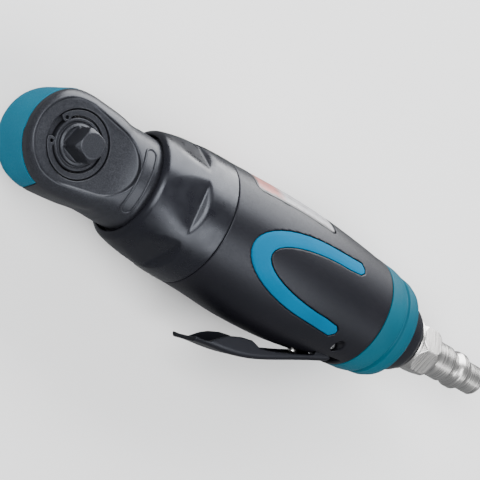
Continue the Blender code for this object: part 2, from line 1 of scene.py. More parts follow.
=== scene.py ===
"""Finished looks for the mini air ratchet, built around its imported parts.

Fields and outlines are in millimetres in the tool's frame: X runs back along the tool from the
drive's axis, Z runs out along the square drive, and the throttle lever hangs on the -Y side.
Most shells are signed distance fields, negative inside, turned into meshes by surface_mesh().
"""

import json
import math

import bpy
import numpy as np
from mathutils import Euler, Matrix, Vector


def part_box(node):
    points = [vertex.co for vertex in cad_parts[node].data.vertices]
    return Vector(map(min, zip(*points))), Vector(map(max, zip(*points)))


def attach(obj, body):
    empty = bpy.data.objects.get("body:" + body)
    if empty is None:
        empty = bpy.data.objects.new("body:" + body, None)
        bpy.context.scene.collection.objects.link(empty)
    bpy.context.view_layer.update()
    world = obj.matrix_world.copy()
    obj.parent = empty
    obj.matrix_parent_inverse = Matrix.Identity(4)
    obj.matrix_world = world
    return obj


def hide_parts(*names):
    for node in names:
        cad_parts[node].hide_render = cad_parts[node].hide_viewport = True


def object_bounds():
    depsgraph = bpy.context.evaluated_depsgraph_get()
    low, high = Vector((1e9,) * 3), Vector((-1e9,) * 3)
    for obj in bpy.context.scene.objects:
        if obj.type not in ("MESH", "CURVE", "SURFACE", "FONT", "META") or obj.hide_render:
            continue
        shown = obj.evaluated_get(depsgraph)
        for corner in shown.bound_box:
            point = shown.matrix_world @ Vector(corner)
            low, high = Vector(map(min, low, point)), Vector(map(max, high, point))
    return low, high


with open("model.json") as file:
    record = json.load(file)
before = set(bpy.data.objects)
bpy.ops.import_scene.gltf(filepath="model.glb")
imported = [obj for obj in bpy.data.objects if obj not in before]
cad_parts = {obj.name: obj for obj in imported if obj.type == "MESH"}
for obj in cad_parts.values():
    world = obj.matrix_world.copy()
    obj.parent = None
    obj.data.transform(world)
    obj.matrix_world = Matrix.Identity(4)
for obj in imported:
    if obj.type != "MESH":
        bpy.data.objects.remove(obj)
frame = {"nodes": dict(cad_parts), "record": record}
CAD_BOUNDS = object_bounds()

MM = 0.001
RING_LOW, RING_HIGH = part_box("rear_ring")
AXIS_Z = (RING_LOW.z + RING_HIGH.z) / 2  # height of the tool's axis in the row's frame
DRIVE_REACH = -AXIS_Z / MM
COARSE = 1
BLOCK = 8  # cells along each side of the blocks that a field is sampled in
SEAM_GAP = 0.15  # between shells that meet in view

# Head
NOSE_R = 13.1
NECK_R = 12.3
FACE_Z = 10.2
FLOOR_Z = 9.1
BACK_Z = -10.4
CAVITY_R = 8.45
KNOB_R = 7.2
KNOB_LOW = -13.6
KNOB_TOP = -11.2
BUMPER_ANGLE = math.radians(71)
BUMPER_Z = 6.2
BUMPER_LOW = -8.0
BUMPER_LEAN = 0.26  # how far its ends lean back, to each millimetre down
SQUARE = 6.35
SQUARE_TURN = math.radians(-19)
BALL_Z = 12.7
BALL_R = 0.95

# Shells
SEAM = 42.3
HOUSING_END = 98.5
RING_END = 111.2
SHELL_BORE_R = 14.5
POCKETS = 6
POCKET_FLOOR = 15.2
POCKET_RAMP = 33.2
INLAY_TURN = math.radians(4)
LABEL_SPAN = (48.8, 76.2, 11.5)  # start, end and half width

# Throttle
PIVOT = (91.1, -11.9)
PIN_X = 86.0
LEVER_HALF = 5.6
SHEET = 1.0
PIN_CORE = 0.05  # solid pins are turned as rings with next to no bore

# Air plug
HEX_FLATS = 12.7
THREAD_BORE_R = 5.2
PLUG_TIP = 147.4


# ---------------------------------------------------------------- fields


def both(a, b, radius=0.0):
    """What two fields share, with its convex edge rounded."""
    outside = np.hypot(np.maximum(a + radius, 0), np.maximum(b + radius, 0))
    return outside + np.minimum(np.maximum(a, b) + radius, 0) - radius


def either(a, b, radius=0.0):
    """Two fields joined, with a fillet between them."""
    return -both(-a, -b, radius)


def without(a, b, radius=0.0):
    """Field a with b cut out of it."""
    return both(a, -b, radius)


def polygon(outline, u, v):
    """Signed distance to a closed outline in a plane."""
    nearest = np.full(u.shape, 1e9)
    inside = np.zeros(u.shape, bool)
    for (au, av), (bu, bv) in zip(outline, outline[1:] + outline[:1]):
        eu, ev = bu - au, bv - av
        share = np.clip(((u - au) * eu + (v - av) * ev) / (eu * eu + ev * ev), 0, 1)
        nearest = np.minimum(nearest, (u - au - eu * share) ** 2 + (v - av - ev * share) ** 2)
        crosses = (av <= v) != (bv <= v)
        inside ^= crosses & (u < eu * (v - av) / (ev or 1.0) + au)
    return np.where(inside, -1, 1) * np.sqrt(nearest)


def two_circles(u, v, radius_a, radius_b, distance):
    """Signed distance to the hull of a circle at the origin and one further along u."""
    v = np.abs(v)
    lean = (radius_a - radius_b) / distance
    rise = math.sqrt(1 - lean * lean)
    along = rise * u - lean * v
    side = rise * v + lean * u - radius_a
    front = np.hypot(u, v) - radius_a
    rear = np.hypot(u - distance, v) - radius_b
    return np.where(along < 0, front, np.where(along > rise * distance, rear, side))


def span(x, start, end):
    return np.maximum(start - x, x - end)


def ease(x, start, end):
    """0 before start and 1 after end, with a smooth step between."""
    share = np.clip((x - start) / (end - start), 0, 1)
    return share * share * (3 - 2 * share)


def parts_of(p):
    """x, y, z and the distance from the tool's axis of each point."""
    x, y, z = p.T
    return x, y, z, np.hypot(y, z)


def tool_to_row(points):
    return points * MM + np.array((0, 0, AXIS_Z))


# ---------------------------------------------------------------- meshes

CORNERS = np.array([(i, j, k) for i in (0, 1) for j in (0, 1) for k in (0, 1)])
EDGES = [(a, b) for a in range(8) for b in range(a + 1, 8) if abs(CORNERS[a] - CORNERS[b]).sum() == 1]


def sampled(field, low, step, blocks):
    """The field on a grid, worked out in full only in the blocks near the surface."""
    size = BLOCK * step
    places = np.indices(blocks).reshape(3, -1).T
    rough = field(low + (places + 0.5) * size)
    near = np.abs(rough) < size
    values = np.sign(rough).reshape(blocks)
    for axis in range(3):
        values = np.repeat(values, BLOCK, axis)
    offsets = np.indices((BLOCK,) * 3).reshape(3, -1).T
    nodes = (places[near][:, None] * BLOCK + offsets).reshape(-1, 3)
    values[tuple(nodes.T)] = field(low + nodes * step)
    return values


def crossing_vertices(values):
    """Cells that the surface crosses, and the mean place of its crossings with each one's edges."""
    inside = values < 0
    count = np.zeros(np.array(values.shape) - 1, int)
    for i, j, k in CORNERS:
        count += inside[i : i - 1 or None, j : j - 1 or None, k : k - 1 or None]
    cells = np.argwhere((count > 0) & (count < 8))
    corner_values = np.stack([values[tuple((cells + corner).T)] for corner in CORNERS], 1)
    total = np.zeros((len(cells), 3))
    hits = np.zeros((len(cells), 1))
    for a, b in EDGES:
        va, vb = corner_values[:, a], corner_values[:, b]
        crossed = (va < 0) != (vb < 0)
        share = np.where(crossed, va / np.where(crossed, va - vb, 1), 0)[:, None]
        total += crossed[:, None] * (CORNERS[a] + share * (CORNERS[b] - CORNERS[a]))
        hits += crossed[:, None]
    return cells, cells + total / hits


def crossing_quads(values, cells):
    """A quad round each grid edge that the surface crosses, turned so that it faces outwards."""
    index = np.full(np.array(values.shape), -1)
    index[tuple(cells.T)] = np.arange(len(cells))
    inside = values < 0
    quads = []
    for axis in range(3):
        u, v = (axis + 1) % 3, (axis + 2) % 3
        here = np.take(inside, range(values.shape[axis] - 1), axis)
        ahead = np.take(inside, range(1, values.shape[axis]), axis)
        for edges, order in ((np.argwhere(here & ~ahead), 1), (np.argwhere(~here & ahead), -1)):
            ring = []
            for du, dv in ((0, 0), (1, 0), (1, 1), (0, 1)):
                back = edges.copy()
                back[:, u] -= du
                back[:, v] -= dv
                ring.append(index[tuple(back.T)])
            quads.append(np.stack(ring[::order], 1))
    return np.concatenate(quads)


def settled(field, points, step):
    """Moves each point onto the field's surface."""
    reach = step * 0.1
    for _ in range(2):
        value = field(points)
        slope = np.stack([field(points + reach * axis) for axis in np.eye(3)], 1) - value[:, None]
        slope /= reach
        move = value[:, None] * slope / np.maximum((slope**2).sum(1), 0.05)[:, None]
        points = points - np.clip(move, -step, step)
    return points


def surface_mesh(name, field, low, high, step):
    """A closed mesh on the surface of a field, between two corners in the tool's frame."""
    step *= COARSE
    low = np.array(low, float) - 1.5 * step
    blocks = tuple(math.ceil((top - base + 2 * step) / (BLOCK * step)) for base, top in zip(low, high))
    values = sampled(field, low, step, blocks)
    cells, places = crossing_vertices(values)
    points = settled(field, low + places * step, step)
    return smooth_mesh(name, tool_to_row(points), crossing_quads(values, cells))


def smooth_mesh(name, points, faces):
    """A smooth-shaded object from arrays of points and of faces that all have as many corners."""
    mesh = bpy.data.meshes.new(name)
    mesh.from_pydata(points.tolist(), [], faces.tolist())
    mesh.shade_smooth()
    obj = bpy.data.objects.new(name, mesh)
    bpy.context.scene.collection.objects.link(obj)
    return obj


def filleted(profile, radius, steps=4):
    """The closed profile with each corner rounded, as far as the lengths of its sides allow."""
    points = []
    for before, corner, after in zip(profile[-1:] + profile[:-1], profile, profile[1:] + profile[:1]):
        before, corner, after = (Vector(point) for point in (before, corner, after))
        to_before, to_after = before - corner, after - corner
        half = to_before.angle(to_after) / 2
        if half > math.radians(86):
            points.append(corner)
            continue
        reach = min(radius / math.tan(half), to_before.length * 0.45, to_after.length * 0.45)
        start = corner + to_before.normalized() * reach
        end = corner + to_after.normalized() * reach
        for i in range(steps + 1):
            share = i / steps
            points.append(start * (1 - share) ** 2 + corner * 2 * share * (1 - share) + end * share**2)
    return points


def lathe(name, profile, radius=0.15, steps=128, place=None):
    """A turned ring from a closed profile of (station, radius) pairs, with rounded corners."""
    points = filleted(profile, radius)
    steps //= COARSE
    angles = np.arange(steps) * math.tau / steps
    stations = np.array([point[0] for point in points])
    radii = np.array([point[1] for point in points])
    x = np.repeat(stations[None], steps, 0)
    y = np.sin(angles)[:, None] * radii
    z = np.cos(angles)[:, None] * radii
    grid = np.stack((x, y, z), 2)
    if place:
        grid = place(grid.reshape(-1, 3)).reshape(grid.shape)
    obj = ring_mesh(name, grid)
    obj.data.set_sharp_from_angle(angle=math.radians(50))
    return obj


def signed_volume(mesh):
    mesh.calc_loop_triangles()
    triangles = [[mesh.vertices[i].co for i in triangle.vertices] for triangle in mesh.loop_triangles]
    return np.linalg.det(np.array(triangles)).sum()


def across(points):
    """Turns a piece made along X so that it runs along +Y at the throttle pin's station."""
    x, y, z = points.T
    return np.stack((PIN_X + z, x, y), 1)


def upright(points, place=(0, 0)):
    """Turns a piece made along X so that it runs along +Z."""
    x, y, z = points.T
    return np.stack((place[0] + z, place[1] + y, x), 1)


# ---------------------------------------------------------------- head


def head_block(p):
    """The round nose and tapering flanks, with their edges rounded more along the sides."""
    x, y, z, radial = parts_of(p)
    flank = two_circles(x, y, NOSE_R, 10.7, 22)
    along = ease(x, -12, -2)
    block = both(both(flank, z - FACE_Z, 2.4 + 2.6 * along), BACK_Z - z, 4.6 + 0.4 * along)
    slim = radial - (15.2 - 2.9 * ease(x, 7, 17))
    return both(both(block, slim, 2.5), x - 22)


def neck(p):
    x, _, _, radial = parts_of(p)
    outline = [(8, 0), (8, 8.2), (11, 10.4), (13.5, 11.6), (16, 12.2), (18, NECK_R), (30.6, NECK_R)]
    outline += [(30.6, 13.1), (34, 13.1), (34, 0)]
    return polygon(outline, x, radial)


def face_scoop(p):
    """What is hollowed out of the face: flat round the drive and rising to the neck behind it."""
    x, y, z, _ = parts_of(p)
    rim = two_circles(x + 1.6, y, 10.3, 8.5, 9.4)
    bend = 19.5
    rise = bend - np.sqrt(bend**2 - np.clip(x - 7.6, 0, bend * 0.8) ** 2)
    return both(rim, FLOOR_Z + rise - z, 0.4)


def stadium(half_length, half_width, count):
    """Points round an oval with straight sides, as (across, along) pairs."""
    points = []
    straight = half_length - half_width
    steps = [(i + 0.5) / (count // 4) for i in range(count // 4)]
    for side in (1, -1):
        for step in steps:
            angle = math.pi * step
            end = straight + half_width * math.sin(angle)
            points.append(side * Vector((half_width * math.cos(angle), end)))
        for step in steps:
            points.append(side * Vector((-half_width, straight * (1 - 2 * step))))
    return points


def neck_oval(station=18.0, thick=0.3):
    """The raised line of the blank oval on the neck's shoulder, as a thin closed cord."""
    path = stadium(8.8, 1.5, 144 // COARSE)
    around = np.array([(point.y - 0.6) / NECK_R for point in path])
    stations = np.array([point.x + station for point in path])
    facing = np.stack((0 * around, np.sin(around), np.cos(around)), 1)
    middle = np.stack((stations, 0 * around, 0 * around), 1)
    radius = np.full(len(path), NECK_R - 1)
    for _ in range(12):
        radius = radius - head(middle + facing * radius[:, None])
    middle += facing * radius[:, None]
    run = np.roll(middle, -1, 0) - np.roll(middle, 1, 0)
    out = np.cross(run, facing)
    out /= np.linalg.norm(out, axis=1)[:, None]
    turns = np.arange(8) * math.tau / 8
    wide = 1.2 * np.cos(turns)[:, None] * out[:, None]
    high = np.sin(turns)[:, None] * facing[:, None]
    return ring_mesh("neck_oval", middle[:, None] + thick * (wide + high))


def ring_mesh(name, grid):
    """A closed tube round a loop, from a (stations, round, 3) array of points in the tool's frame."""
    count, around = grid.shape[:2]
    i, j = (part.ravel() for part in np.meshgrid(np.arange(count), np.arange(around), indexing="ij"))
    i2, j2 = (i + 1) % count, (j + 1) % around
    faces = np.stack((i * around + j, i2 * around + j, i2 * around + j2, i * around + j2), 1)
    obj = smooth_mesh(name, tool_to_row(grid.reshape(-1, 3)), faces)
    if signed_volume(obj.data) < 0:
        obj.data.flip_normals()
    return obj


def bumper_zone(p):
    """The wedge round the nose that the bumper fills, up to its upper and lower borders."""
    x, y, z, _ = parts_of(p)
    back = (BUMPER_Z - z) * BUMPER_LEAN
    wedge = (x - back) * math.sin(BUMPER_ANGLE) + np.abs(y) * math.cos(BUMPER_ANGLE)
    step_down = 0.4 * ease(-y, 1.4, 2.8)
    return both(wedge, np.maximum(z - BUMPER_Z + step_down, BUMPER_LOW - z), 0.3)


def head(p):
    x, y, z, radial = parts_of(p)
    block = head_block(p)
    body = either(block, neck(p), 2.2)
    body = without(body, face_scoop(p), 0.35)
    body = without(body, both(bumper_zone(p), -block - 1.9), 0.15)
    drive = np.hypot(x, y)
    body = without(body, both(drive - CAVITY_R, -6.4 - z), 0.2)
    body = without(body, both(drive - 5.0, z + 5))
    return without(body, both(radial - 8.0, 3.5 - x))


def bumper(p):
    block = head_block(p)
    body = both(block - 0.08, bumper_zone(p) + SEAM_GAP, 0.35)
    return without(body, block + 1.6)


def make_head():
    piece = surface_mesh("head_casting", head, (-13.4, -13.6, -13.6), (34.2, 13.6, 13.6), 0.25)
    dress(piece, "housing", "black_steel", "ratchet_head")
    dress(neck_oval(), "housing", "black_steel")
    piece = surface_mesh("nose_guard", bumper, (-13.5, -13.2, -8.2), (0, 13.2, 6.4), 0.2)
    dress(piece, "housing", "turquoise_rubber", "nose_bumper")
    washer = [(6.9, 6.65), (6.9, 8.15), (7.7, 8.15), (7.7, 6.65)]
    piece = lathe("face_washer", washer, 0.1, place=upright)
    dress(piece, "housing", "black_steel", "thrust_washer", slot="ground_steel")


def snap_ring(p):
    """A split ring with an eye near each end for the pliers."""
    x, y, z, _ = parts_of(p)
    radius = np.hypot(x, y)
    middle = math.radians(170)
    turned_x = x * math.cos(middle) + y * math.sin(middle)
    turned_y = np.abs(y * math.cos(middle) - x * math.sin(middle))
    gap = math.radians(21)
    opening = both(turned_y * math.cos(gap) - turned_x * math.sin(gap), -turned_x)
    ring = without(np.abs(radius - 7.45) - 0.7, opening, 0.2)
    eye_reach, eye_turn = 6.95, gap + 0.13
    eye = np.hypot(turned_x - eye_reach * math.cos(eye_turn), turned_y - eye_reach * math.sin(eye_turn))
    ring = without(either(ring, eye - 1.05, 0.4), eye - 0.45, 0.1)
    return both(ring, np.abs(z - 8.45) - 0.42, 0.12)


def anvil(p):
    """The drive's core, collar and square, turned and then milled."""
    x, y, z, _ = parts_of(p)
    radius = np.hypot(x, y)
    body = [(0, -12.6), (4.6, -12.6), (4.6, -6.1), (5.8, -6.1), (5.8, 6.0)]
    collar = [(6.3, 6.0), (6.3, 8.7), (6.05, 9.0), (5.55, 9.0), (5.4, 8.6), (5.1, 8.6)]
    core = polygon(body + collar + [(4.95, 9.3), (4.3, 9.6), (4.1, 9.2), (0, 9.2)], radius, z)
    u = x * math.cos(SQUARE_TURN) + y * math.sin(SQUARE_TURN)
    v = y * math.cos(SQUARE_TURN) - x * math.sin(SQUARE_TURN)
    half = SQUARE / 2
    square = both(both(np.abs(u) - half, np.abs(v) - half, 0.3), radius - 4.25, 0.3)
    chamfer = (radius - 3.05 + (z - DRIVE_REACH)) * math.sqrt(0.5)
    square = both(both(square, np.maximum(z - DRIVE_REACH, 8.5 - z), 0.1), chamfer, 0.15)
    neck_groove = both(np.hypot(radius - 4.75, z - 10.5) - 0.9, 9.2 - z)
    core = either(core, without(square, neck_groove, 0.1), 0.25)
    ball_hole = both(np.hypot(v, z - BALL_Z) - BALL_R - 0.2, 0.4 - u)
    core = without(core, ball_hole, 0.12)
    slot = both(np.maximum(1.2 - x, np.abs(y) - 4.1), np.abs(z) - 3.7)
    return without(core, slot)


def knob(p):
    """The direction knob: a scalloped disc with a finger bar across it."""
    x, y, z, _ = parts_of(p)
    radius = np.hypot(x, y)
    angle = np.arctan2(y, x)
    scallops = 0.18 * np.cos(24 * angle) * ease(z, -11.3, -11.9) * ease(-z, 13.7, 13.0)
    disc = both(radius - KNOB_R - scallops, np.maximum(KNOB_LOW - z, z - KNOB_TOP), 0.5)
    turn = math.radians(30)
    u = x * math.cos(turn) + y * math.sin(turn)
    v = y * math.cos(turn) - x * math.sin(turn)
    waist = 1.85 - 0.35 * np.cos(np.clip(u / 7, -1, 1) * math.pi / 2)
    bar = both(both(np.abs(u) - 6.9, np.abs(v) - waist, 0.9), np.maximum(-15.5 - z, z + 12.5), 0.6)
    knob_body = either(disc, bar, 0.4)
    pointer = both(np.hypot(u - 5.7, v) - 0.5, -15.25 - z)
    return without(without(knob_body, pointer, 0.1), both(radius - 4.95, -12.9 - z))


def ball_centre():
    """The ball stands a little out of one side of the square."""
    reach = 2.6
    return Vector((reach * math.cos(SQUARE_TURN), reach * math.sin(SQUARE_TURN), BALL_Z))


def ball(p):
    return np.linalg.norm(p - np.array(ball_centre()), axis=1) - BALL_R


def make_drive():
    ring = surface_mesh("snap_ring", snap_ring, (-8.4, -8.4, 7.9), (8.4, 8.4, 9.0), 0.14)
    dress(ring, "housing", "black_steel", "retaining_ring")
    top = DRIVE_REACH + 0.2
    piece = surface_mesh("anvil_and_square", anvil, (-6.5, -6.5, -12.8), (6.5, 6.5, top), 0.14)
    dress(piece, "drive", "black_steel", "drive_anvil")
    margin = Vector((1.2, 1.2, 1.2))
    piece = surface_mesh("socket_ball", ball, ball_centre() - margin, ball_centre() + margin, 0.1)
    dress(piece, "drive_ball", "ground_steel", "drive_ball")
    piece = surface_mesh("direction_knob", knob, (-7.9, -7.9, -15.8), (7.9, 7.9, -10.6), 0.18)
    dress(piece, "knob", "black_steel", "reverse_knob")


# ---------------------------------------------------------------- shells

SLEEVE_STATIONS = [21, 23.1, 25, 28, 32, 36, 40, 43]
SLEEVE_RADII = [14.3, 14.95, 15.4, 16.0, 16.55, 16.9, 17.05, 17.1]
HOUSING_STATIONS = [42.3, 50, 58, 66, 73, 80, 87, 94, 98.5]
HOUSING_RADII = [17.05, 17.35, 17.62, 17.72, 17.55, 17.1, 16.5, 15.9, 15.4]
SLEEVE_CURVE = np.polyfit(SLEEVE_STATIONS, SLEEVE_RADII, 3)
HOUSING_CURVE = np.polyfit(HOUSING_STATIONS, HOUSING_RADII, 4)


def sleeve(p):
    x, y, z, radial = parts_of(p)
    skin = radial - np.polyval(SLEEVE_CURVE, np.clip(x, 20, 43))
    body = both(skin, 20.9 - x, 1.7)
    body = both(body, x - SEAM + SEAM_GAP / 2, 0.25)
    angle = np.arctan2(y, z)
    pitch = math.tau / POCKETS
    height = radial * np.cos(angle - pitch * np.round(angle / pitch))
    ramp = (POCKET_FLOOR + x - POCKET_RAMP - height) * math.sqrt(0.5)
    body = without(body, both(POCKET_FLOOR - height, ramp, 0.25), 0.55)
    mouth = both(radial - 13.0, x - 23.4, 0.3)
    chamber = np.maximum(radial - SHELL_BORE_R, 24.3 - x)
    return without(without(body, mouth, 0.3), chamber)


def housing_radius(x):
    return np.polyval(HOUSING_CURVE, np.clip(x, SEAM, HOUSING_END))


def housing_skin(p):
    """The housing's outside: turned, and a little fuller on the lever's side."""
    x, y, _, radial = parts_of(p)
    fuller = 0.45 * ease(x, 48, 62) * ease(-x, -88, -74) * ease(-y / np.maximum(radial, 1), 0.5, 1.0)
    return radial - housing_radius(x) - fuller


def horseshoe(margin):
    """The inlay's outline, in X and across: its closed end points to the drive."""
    outer_x, outer_half = 50.3 - margin, 9.9 + margin
    inner_x, inner_half = 56.4 + margin, 6.9 - margin
    ends = 86.7 + margin

    def side(nose, half, length, count):
        angles = [math.pi / 2 * i / (count - 1) for i in range(count)]
        return [(nose + length * (1 - math.cos(angle)), half * math.sin(angle)) for angle in angles]

    outer = side(outer_x, outer_half, 27, 12) + [(ends - 1.2, outer_half + 0.25), (ends, outer_half - 0.9)]
    inner = side(inner_x, inner_half, 25, 11) + [(ends - 1.2, inner_half + 0.35), (ends, inner_half + 1.2)]
    upper = outer + inner[::-1]
    return upper[:-1] + [(x, -y) for x, y in upper[::-1]][:-1]


def inlay_plan(p, margin):
    """Distance to the inlay's outline, seen from the side that it faces."""
    x, y, z, _ = parts_of(p)
    beside = y * math.cos(INLAY_TURN) + z * math.sin(INLAY_TURN)
    height = z * math.cos(INLAY_TURN) - y * math.sin(INLAY_TURN)
    return np.maximum(polygon(horseshoe(margin), x, beside), 5 - height)


def label_plan(p, margin):
    x, y, z, _ = parts_of(p)
    start, end, half = LABEL_SPAN
    middle, reach = (start + end) / 2, (end - start) / 2
    edges = both(np.abs(x - middle) - reach - margin, np.abs(z) - half - margin, 1.6 + margin)
    return np.maximum(edges, 5 - y)


def housing_hollow(p):
    """The stepped bore for the motor, the valve and the inlet."""
    x, _, _, radial = parts_of(p)
    steps = [(40, 83.6, SHELL_BORE_R), (83, 95.2, 4.2), (95.0, 99.3, 7.3), (99.3, 109, 11.6)]
    bores = [np.maximum(radial - radius, span(x, start, end)) for start, end, radius in steps]
    return np.minimum.reduce(bores)


def housing(p):
    x, y, z, radial = parts_of(p)
    skin = housing_skin(p)
    body = both(skin, span(x, SEAM + SEAM_GAP / 2, HOUSING_END), 0.3)
    body = np.minimum(body, np.maximum(radial - 13.0, span(x, HOUSING_END - 1, 108)))
    body = without(body, np.maximum(inlay_plan(p, SEAM_GAP), -skin - 1.0), 0.12)
    body = without(body, np.maximum(label_plan(p, 2 * SEAM_GAP), -skin - 0.8), 0.12)
    body = without(body, both(span(x, 88.3, 97), np.maximum(np.abs(z) - 6.1, y + 8.9), 0.3), 0.4)
    body = without(body, np.maximum(np.hypot(x - PIN_X, z) - 1.6, y + 3), 0.3)
    body = without(body, np.hypot(x - PIVOT[0], y - PIVOT[1]) - 1.5, 0.2)
    body = without(body, np.maximum(np.hypot(x - PIN_X, z) - 2.2, span(y, -8.5, -2.6)))
    body = without(body, exhaust_notch(p), 0.3)
    return without(body, housing_hollow(p))


def exhaust_notch(p):
    """A shallow slot beside the rear ring, on the label's side."""
    x, y, z, radial = parts_of(p)
    around = np.abs(np.arctan2(z - 3, y)) * radial - 3.2
    return both(both(span(x, 93.2, 97.2), around, 1.2), 14.9 - radial)


def inlay(p):
    skin = housing_skin(p)
    plan = inlay_plan(p, 0)
    crown = 0.1 * ease(-plan, 0, 1.2)
    return both(both(plan, skin - crown, 0.3), -skin - 0.75)


def label(p):
    skin = housing_skin(p)
    return both(both(label_plan(p, 0), skin + 0.08, 0.1), -skin - 0.6)


def make_shells():
    piece = surface_mesh("finger_sleeve", sleeve, (20.6, -17.3, -17.3), (42.4, 17.3, 17.3), 0.22)
    dress(piece, "housing", "gloss_black", "front_sleeve")
    piece = surface_mesh("grip_shell", housing, (42.2, -18.4, -18), (108.2, 18, 18), 0.26)
    dress(piece, "housing", "satin_black", "rear_housing")
    piece = surface_mesh("horseshoe_inlay", inlay, (50, -12, 11), (87, 12, 18), 0.17)
    dress(piece, "housing", "turquoise_inlay", "grip_inlay", slot="turquoise_rubber")
    piece = surface_mesh("side_label", label, (48.6, 11, -11.7), (76.4, 18, 11.7), 0.18)
    dress(piece, "housing", "label", "label_plate")


def exhaust_ring():
    """The turquoise ring: a wide band, a groove and a lip that closes in on the cap."""
    band = [(98.75, 13.35), (98.75, 15.38), (102.5, 15.12), (104.6, 14.68), (105.0, 13.7), (105.9, 13.7)]
    lip = [(106.3, 14.35), (108.6, 14.05), (110.4, 13.35), (RING_END, 12.2), (RING_END, 10.9)]
    return lathe("exhaust_ring", band + lip + [(109.6, 10.9), (109.6, 13.35)], 0.35, 192)


def inlet_cap():
    """The black cap with its collar in the ring, a rounded end and the bore for the plug's thread."""
    collar = [(95.5, 3.0), (95.5, 7.0), (108.3, 7.0), (108.3, 12.8), (109.2, 12.8), (109.2, 10.5)]
    end = [(113.0, 10.4), (114.4, 10.1), (116.2, 9.45), (117.6, 8.6), (118.3, 7.7), (118.5, 6.8)]
    bore = [(118.5, THREAD_BORE_R), (103.5, THREAD_BORE_R), (103.5, 1.9), (99.2, 1.9), (99.2, 3.0)]
    return lathe("inlet_cap", collar + end + bore, 0.4, 160)


def plug_washer():
    """Two thin rims with a groove between them, under the plug's hexagon."""
    first = [(118.7, THREAD_BORE_R), (118.7, 7.6), (119.1, 7.85), (119.45, 7.6), (119.6, 7.2)]
    second = [(119.75, 7.35), (120.1, 7.2), (120.2, 6.6), (120.2, THREAD_BORE_R)]
    return lathe("plug_washer", first + second, 0.12, 160)


def make_rear_end():
    # The ring wears a darker copy of the turquoise rubber: painted shade that dims what the lights brighten
    # on it.
    dress(exhaust_ring(), "housing", "turquoise_ring_painted_shade", "rear_ring", slot="turquoise_rubber")
    dress(inlet_cap(), "housing", "gloss_black", "inlet_bush")
    dress(plug_washer(), "housing", "nickel_steel", "plug_seal", slot="seal_rubber")


def plug(p):
    """The plated plug: a thread, a hexagon and the coupling's collars, with a bore right through."""
    x, y, z, radial = parts_of(p)
    barrel = [(104.5, 0), (104.5, 4.9), (121, 4.9), (126, 5.1), (134.4, 5.1), (135.0, 4.9), (135.5, 4.4)]
    collar = [(136.7, 4.4), (137.4, 4.75), (138.1, 5.2), (140.0, 5.2), (140.9, 4.7), (141.2, 4.35)]
    tip = [(141.6, 4.35), (141.7, 4.15), (146.7, 4.15), (PLUG_TIP - 0.1, 3.8), (PLUG_TIP, 3.5), (PLUG_TIP, 0)]
    body = polygon(barrel + collar + tip, x, radial)
    angle = np.arctan2(y, z) + math.radians(2)
    pitch = math.tau / 6
    flats = radial * np.cos(angle - pitch * (np.floor(angle / pitch) + 0.5)) - HEX_FLATS / 2
    cone = radial - np.interp(x, [119, 120.5, 122.2, 125.8, 127.4, 129], [5.2, 6.45, 7.4, 7.4, 6.6, 5.6])
    nut = both(both(flats, cone * 0.85, 0.12), span(x, 120.4, 127.4), 0.15)
    body = either(body, nut, 0.25)
    return without(body, radial - 2.5, 0.25)


def make_plug():
    piece = surface_mesh("coupling_plug", plug, (104.3, -7.5, -7.5), (PLUG_TIP + 0.2, 7.5, 7.5), 0.16)
    dress(piece, "housing", "nickel_steel", "inlet_plug")


# ---------------------------------------------------------------- throttle

LEVER_STATIONS = [53.8, 57, 60, 63, 67, 72, 77.4, 82.7, 88, 92.5, 96]
LEVER_HEIGHTS = [-27.45, -26.9, -26.65, -26.4, -25.85, -24.5, -22.5, -20.4, -18.15, -16.4, -15.0]
LEVER_CURVE = np.polyfit(LEVER_STATIONS, LEVER_HEIGHTS, 5)


def lever_outline():
    """The flange's free edge from the pivot eye forward to the tip, closed well below the lever."""
    root = [(89.3, -14.6), (88.9, -15.95), (87.0, -16.8), (83.8, -18.0), (79.5, -19.5), (75.5, -20.7)]
    hump = [(72.6, -21.3), (71.4, -20.9), (69.4, -20.4), (66.2, -20.9), (63.0, -22.0), (60.9, -23.2)]
    tip = [(59.4, -24.4), (58.0, -25.6), (56.6, -26.0), (53.5, -26.2)]
    return root + hump + tip + [(53.5, -32), (93.0, -32), (94.2, -14.6)]


def lever(p):
    x, y, z, _ = parts_of(p)
    eye = np.hypot(x - PIVOT[0], y - PIVOT[1])
    side = np.minimum(polygon(lever_outline(), x, y), eye - 2.1)
    side = np.minimum(side, both(span(x, 89.1, 93.6), span(y, -15, PIVOT[1])))
    below = (np.polyval(LEVER_CURVE, np.clip(x, 53, 96)) - y) * 0.93
    sheet = both(both(below, np.abs(z) - LEVER_HALF, 1.5), side, 0.2)
    channel = both(below + SHEET, np.abs(z) - LEVER_HALF + SHEET, 0.9)
    return without(without(sheet, channel, 0.2), eye - 1.4, 0.15)


def push_pin():
    """The pin that the lever presses: a grooved head outside and a pointed end at the valve."""
    radius = 1.3
    groove = [(-16.6, radius), (-16.4, radius - 0.2), (-16.1, radius - 0.2), (-15.9, radius)]
    shaft = [(-17.35, PIN_CORE), (-17.35, radius)] + groove + [(-2.8, radius), (-1.6, 0.4), (-1.6, PIN_CORE)]
    return lathe("push_pin", shaft, 0.2, 48, across)


def pivot_pin():
    half, radius = 8, 1.2
    profile = [(-half, PIN_CORE), (-half, radius), (half, radius), (half, PIN_CORE)]
    return lathe("pivot_pin", profile, 0.25, 48, lambda points: upright(points, PIVOT))


def make_throttle():
    piece = surface_mesh("lever_pressing", lever, (53.1, -28.4, -5.9), (94.6, -9.6, 5.9), 0.18)
    dress(piece, "lever", "lever_black", "throttle_lever", slot="gloss_black")
    dress(push_pin(), "throttle_pin", "nickel_steel", "throttle_pin")
    dress(pivot_pin(), "housing", "ground_steel", "lever_pin")


# ---------------------------------------------------------------- materials


COOL = (0.84, 0.89, 1.0, 1.0)  # the tint of what black surfaces reflect


